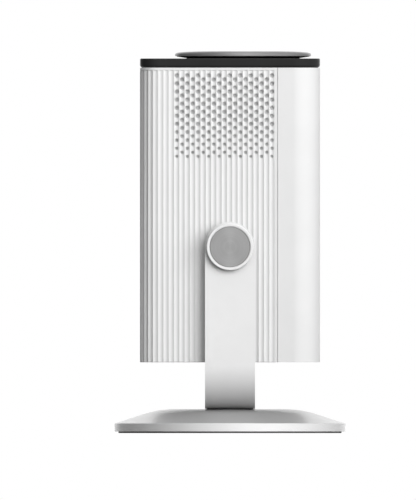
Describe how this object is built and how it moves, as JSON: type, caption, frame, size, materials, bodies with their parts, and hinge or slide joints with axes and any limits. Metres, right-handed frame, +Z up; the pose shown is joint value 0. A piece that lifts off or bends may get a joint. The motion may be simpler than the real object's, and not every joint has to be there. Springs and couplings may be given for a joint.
{
  "type": "smart projector",
  "caption": "Cordless tower projector with fluted sides, a lens window in front and a dial on top, tilting in a U-shaped yoke on a round weighted base.",
  "frame": {"origin": "centre of the round base's underside, on the table", "axes": "+X is the way the lens looks, +Y is to its left, +Z is up; the tilt axis runs along Y"},
  "size_m": [0.15, 0.15, 0.2481],
  "materials": {
    "white_shell": "satin moulded plastic",
    "yoke_white": "satin powder coat",
    "base_paint": "satin silver-white paint",
    "spun_aluminium": "spun satin aluminium",
    "black_cap": "black satin-gloss plastic",
    "black_plastic": "matt black moulded plastic",
    "rubber": "matt black rubber",
    "steel": "plated steel",
    "iron_weight": "black-painted cast iron",
    "cast_alloy": "die-cast aluminium alloy",
    "clear_glass": "coated clear glass",
    "dark_window": "dark infrared-clear plastic",
    "circuit_board": "green solder mask",
    "battery_wrap": "blue shrink wrap",
    "speaker_cone": "coated paper cone"
  },
  "bodies": {
    "stand": {"foot_pad": "rubber", "base_plate": "base_paint", "base_weight": "iron_weight", "yoke_screw_1": "steel", "yoke_screw_2": "steel", "yoke": "yoke_white", "friction_washer_left": "rubber", "friction_washer_right": "rubber", "spring_washer_left": "steel", "spring_washer_right": "steel", "pivot_ring_left": "yoke_white", "pivot_ring_right": "yoke_white", "pivot_face_left": "spun_aluminium", "pivot_face_right": "spun_aluminium"},
    "projector": {"rear_shell": "white_shell", "front_cover": "white_shell", "hub_spacer_left": "white_shell", "hub_spacer_right": "white_shell", "lens_bezel": "spun_aluminium", "top_cap": "black_cap", "bottom_cover": "black_plastic", "dial_encoder": "black_plastic", "io_panel": "black_plastic", "audio_jack": "black_plastic", "dc_inlet": "black_plastic", "fan_housing": "black_plastic", "lens_mount": "black_plastic", "lens_shroud": "black_plastic", "tilt_shaft_left": "steel", "tilt_shaft_right": "steel", "bottom_screw_1": "steel", "bottom_screw_2": "steel", "bottom_screw_3": "steel", "bottom_screw_4": "steel", "focus_motor": "steel", "hdmi_port": "steel", "usb_port": "steel", "speaker_left": "steel", "speaker_right": "steel", "light_source": "steel", "chassis": "cast_alloy", "engine_tray": "cast_alloy", "optical_engine": "cast_alloy", "heat_sink": "cast_alloy", "lens_window": "clear_glass", "sensor_window": "dark_window", "main_board": "circuit_board", "power_switch": "circuit_board", "battery_pack": "battery_wrap", "speaker_cone_left": "speaker_cone", "speaker_cone_right": "speaker_cone"},
    "dial": {"dial_top": "spun_aluminium", "dial_skirt": "black_plastic"},
    "power_button": {"power_button": "black_cap"},
    "focus_lens": {"lens_barrel": "black_plastic", "front_lens": "clear_glass"},
    "focus_drive": {"focus_screw": "steel"},
    "fan": {"fan_rotor": "black_plastic"}
  },
  "joints": [
    {"name": "tilt", "type": "hinge", "parent": "stand", "child": "projector", "pos_m": [0, 0, 0.121], "axis": [0, -1, 0], "range_deg": [-30, 90]},
    {"name": "dial_turn", "type": "hinge", "parent": "projector", "child": "dial", "pos_m": [0.0085, 0, 0.2435], "axis": [0, 0, 1], "continuous": true},
    {"name": "power_press", "type": "slide", "parent": "projector", "child": "power_button", "axis": [0, 0, -1], "range_m": [0, 0.001], "stiffness_N_per_m": 300},
    {"name": "focus_screw_turn", "type": "hinge", "parent": "projector", "child": "focus_drive", "pos_m": [0.0305, 0, 0.1595], "axis": [1, 0, 0], "range_deg": [-1085, 1085]},
    {"name": "lens_focus", "type": "slide", "parent": "projector", "child": "focus_lens", "axis": [1, 0, 0], "range_m": [-0.0015, 0.0015]},
    {"name": "fan_spin", "type": "hinge", "parent": "projector", "child": "fan", "pos_m": [-0.0545, 0, 0.185], "axis": [1, 0, 0], "continuous": true}
  ],
  "couplings": [
    {"joint": "focus_screw_turn", "follows": "lens_focus", "rad_per_m": 12566}
  ]
}
